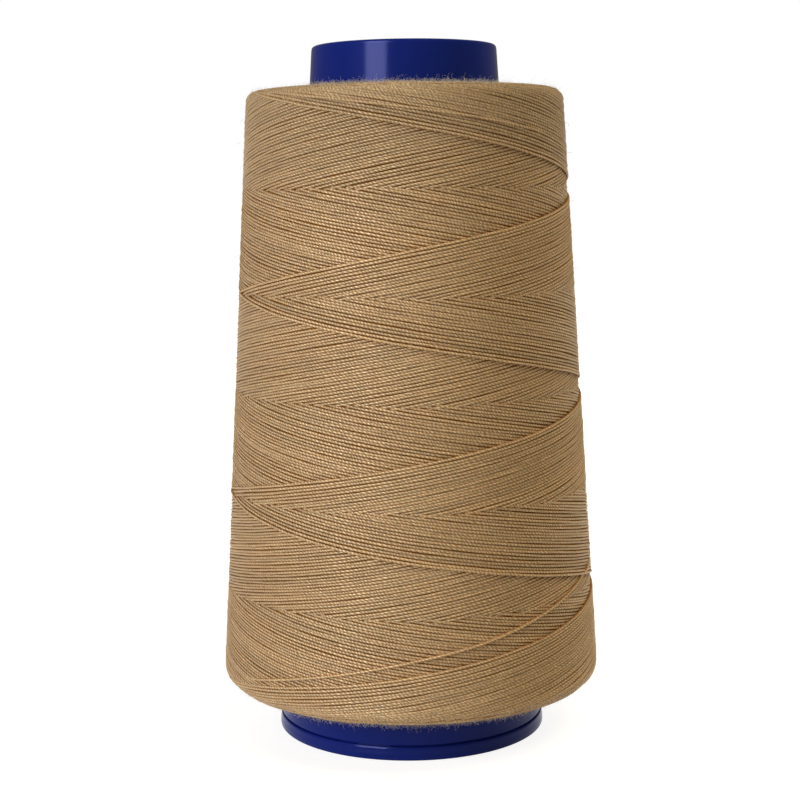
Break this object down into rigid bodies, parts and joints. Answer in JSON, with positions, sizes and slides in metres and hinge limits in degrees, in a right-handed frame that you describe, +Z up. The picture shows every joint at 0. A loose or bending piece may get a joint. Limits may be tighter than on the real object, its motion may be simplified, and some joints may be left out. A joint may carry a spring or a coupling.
{
  "type": "spool of bonded thread, a cone of sewing thread cross-wound on a hollow tapered core",
  "caption": "Cone of tan spun sewing thread cross-wound on a hollow tapered blue plastic core with a round nose and a lipped foot.",
  "frame": {"origin": "centre of the core's foot, on the surface that it stands on", "axes": "+Z up along the core's axis, towards its nose; -Y is the front"},
  "size_m": [0.0948, 0.0948, 0.17],
  "materials": {
    "core_plastic": "glossy moulded polypropylene, royal blue",
    "spun_thread": "dull two-ply spun yarn, tan, slightly hairy"
  },
  "bodies": {
    "root": {"core": "core_plastic", "thread": "spun_thread"}
  },
  "joints": []
}
